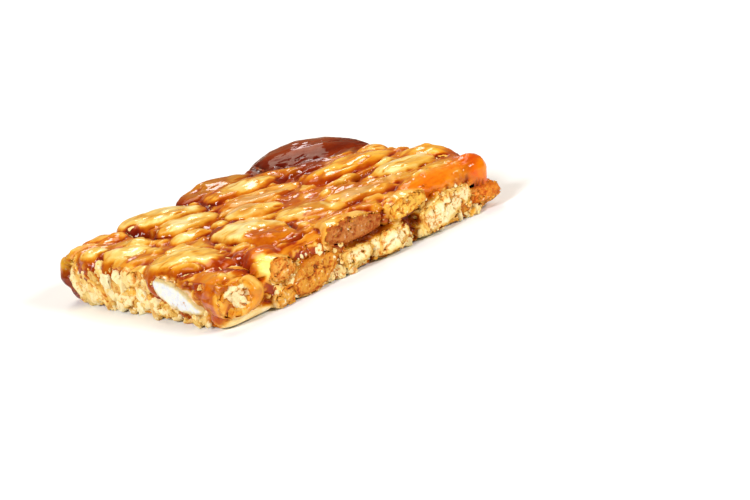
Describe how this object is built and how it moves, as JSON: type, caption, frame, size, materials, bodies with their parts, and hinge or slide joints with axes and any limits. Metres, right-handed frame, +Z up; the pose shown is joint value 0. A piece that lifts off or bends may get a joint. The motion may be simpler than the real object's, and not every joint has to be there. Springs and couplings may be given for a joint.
{
  "type": "almond brittle",
  "caption": "Square piece of nut brittle: almond kernels packed in glossy set caramel, snapped from a slab, with a flat underside.",
  "frame": {"origin": "middle of the piece's box on the flat underside", "axes": "+X along the longer side, towards the corner with the glowing caramel lump; +Y across, towards the almond in its skin; +Z up out of the glazed top"},
  "size_m": [0.062, 0.0542, 0.0117],
  "materials": {
    "caramel": "glossy, clear amber to red brown",
    "glazed_kernel": "glossy caramel film over golden nut",
    "cut_kernel": "matt, crumbly cream to toasted nut",
    "almond_skin": "glossy film over wrinkled red-brown skin"
  },
  "bodies": {
    "root": {"almond_in_skin": "almond_skin", "back_low_1": "cut_kernel", "back_low_2": "cut_kernel", "back_low_3": "cut_kernel", "back_low_4": "cut_kernel", "caramel": "caramel", "corner_broken_end": "cut_kernel", "left_low_cream": "cut_kernel", "left_low_front": "cut_kernel", "left_slice_inner": "cut_kernel", "left_slice_outer": "cut_kernel", "left_upper_chunk": "cut_kernel", "left_white_cut": "glazed_kernel", "right_low_1": "cut_kernel", "right_low_2": "cut_kernel", "right_low_3": "cut_kernel", "right_low_4": "cut_kernel", "side_big_cream": "cut_kernel", "side_cream_chunk": "cut_kernel", "side_cream_large": "cut_kernel", "side_half_moon": "cut_kernel", "side_long_slab": "cut_kernel", "side_low_small": "cut_kernel", "side_orange_chunk": "cut_kernel", "side_right_low": "cut_kernel", "side_upper_piece": "cut_kernel", "top_back_edge": "glazed_kernel", "top_back_right": "glazed_kernel", "top_front_corner": "glazed_kernel", "top_front_small": "glazed_kernel", "top_glazed_flat": "glazed_kernel", "top_gold_middle": "glazed_kernel", "top_gold_whole": "glazed_kernel", "top_left_edge": "glazed_kernel", "top_left_middle": "glazed_kernel", "top_left_tip": "glazed_kernel", "top_pale_left": "glazed_kernel", "top_pale_middle": "glazed_kernel", "top_pale_right": "glazed_kernel", "top_ridge": "glazed_kernel", "top_right_edge": "glazed_kernel", "top_small_left": "glazed_kernel", "top_small_middle": "glazed_kernel", "top_strand": "glazed_kernel", "top_tan_long": "glazed_kernel"}
  },
  "joints": []
}
